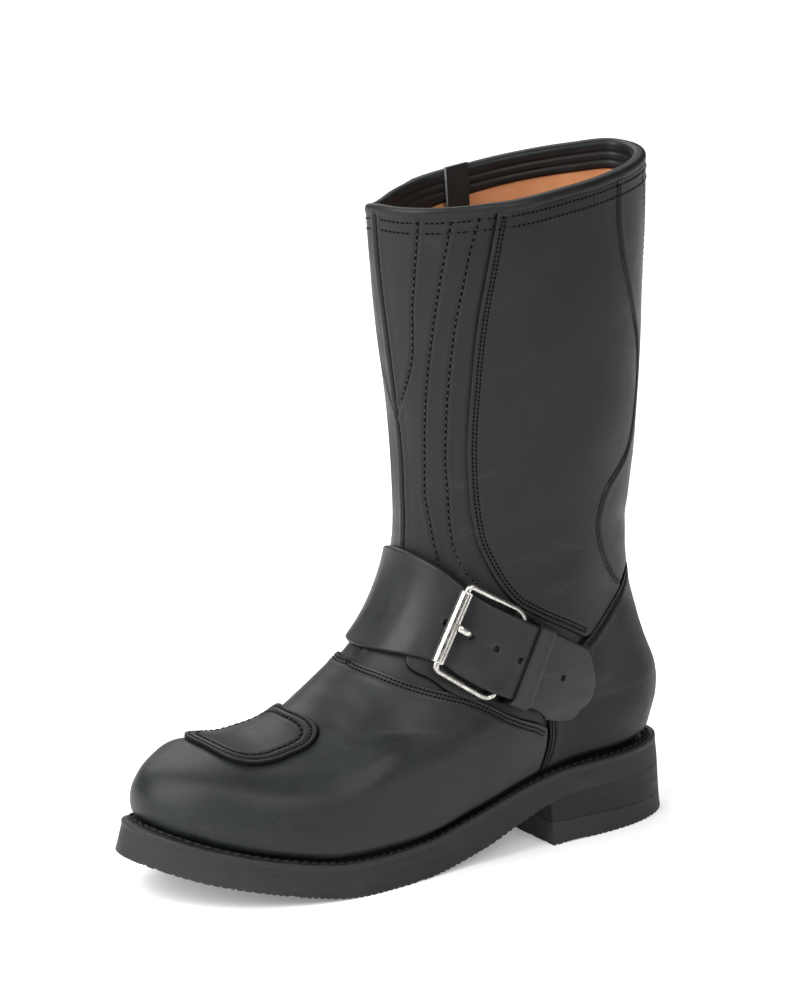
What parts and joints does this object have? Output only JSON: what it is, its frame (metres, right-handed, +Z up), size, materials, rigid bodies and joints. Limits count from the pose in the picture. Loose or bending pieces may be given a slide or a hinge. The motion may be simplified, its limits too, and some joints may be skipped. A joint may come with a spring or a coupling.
{
  "type": "biker boot",
  "caption": "Left pull-on leather biker boot with a round toe patch, buckled instep strap, welted rubber sole and stacked heel; open at the collar for the foot.",
  "frame": {"origin": "centre of the overall box in plan, on the floor plane that the sole rests on", "axes": "+Z up, toe towards -Y, outer side of the left foot towards +X"},
  "size_m": [0.1119, 0.3142, 0.3507],
  "materials": {
    "sole_rubber": "matte black rubber",
    "welt": "matte black welt",
    "stacked_heel": "dyed and waxed stacked leather",
    "insole": "tan natural leather",
    "upper_leather": "matte oiled black leather",
    "strap_leather": "smooth oiled black strap leather",
    "buckle_metal": "polished nickel plate"
  },
  "bodies": {
    "root": {"outsole": "sole_rubber", "heel_lift": "sole_rubber", "welt": "welt", "heel_block": "stacked_heel", "insole": "insole", "upper": "upper_leather", "vamp": "upper_leather", "toe_patch": "upper_leather", "counter": "upper_leather", "side_panel_lateral": "upper_leather", "side_panel_medial": "upper_leather", "back_panel": "upper_leather", "collar_binding": "upper_leather", "pull_strap": "strap_leather", "instep_strap": "strap_leather", "buckle_tab": "strap_leather", "strap_keeper": "strap_leather", "buckle_frame": "buckle_metal", "buckle_roller": "buckle_metal", "buckle_prong": "buckle_metal"}
  },
  "joints": []
}
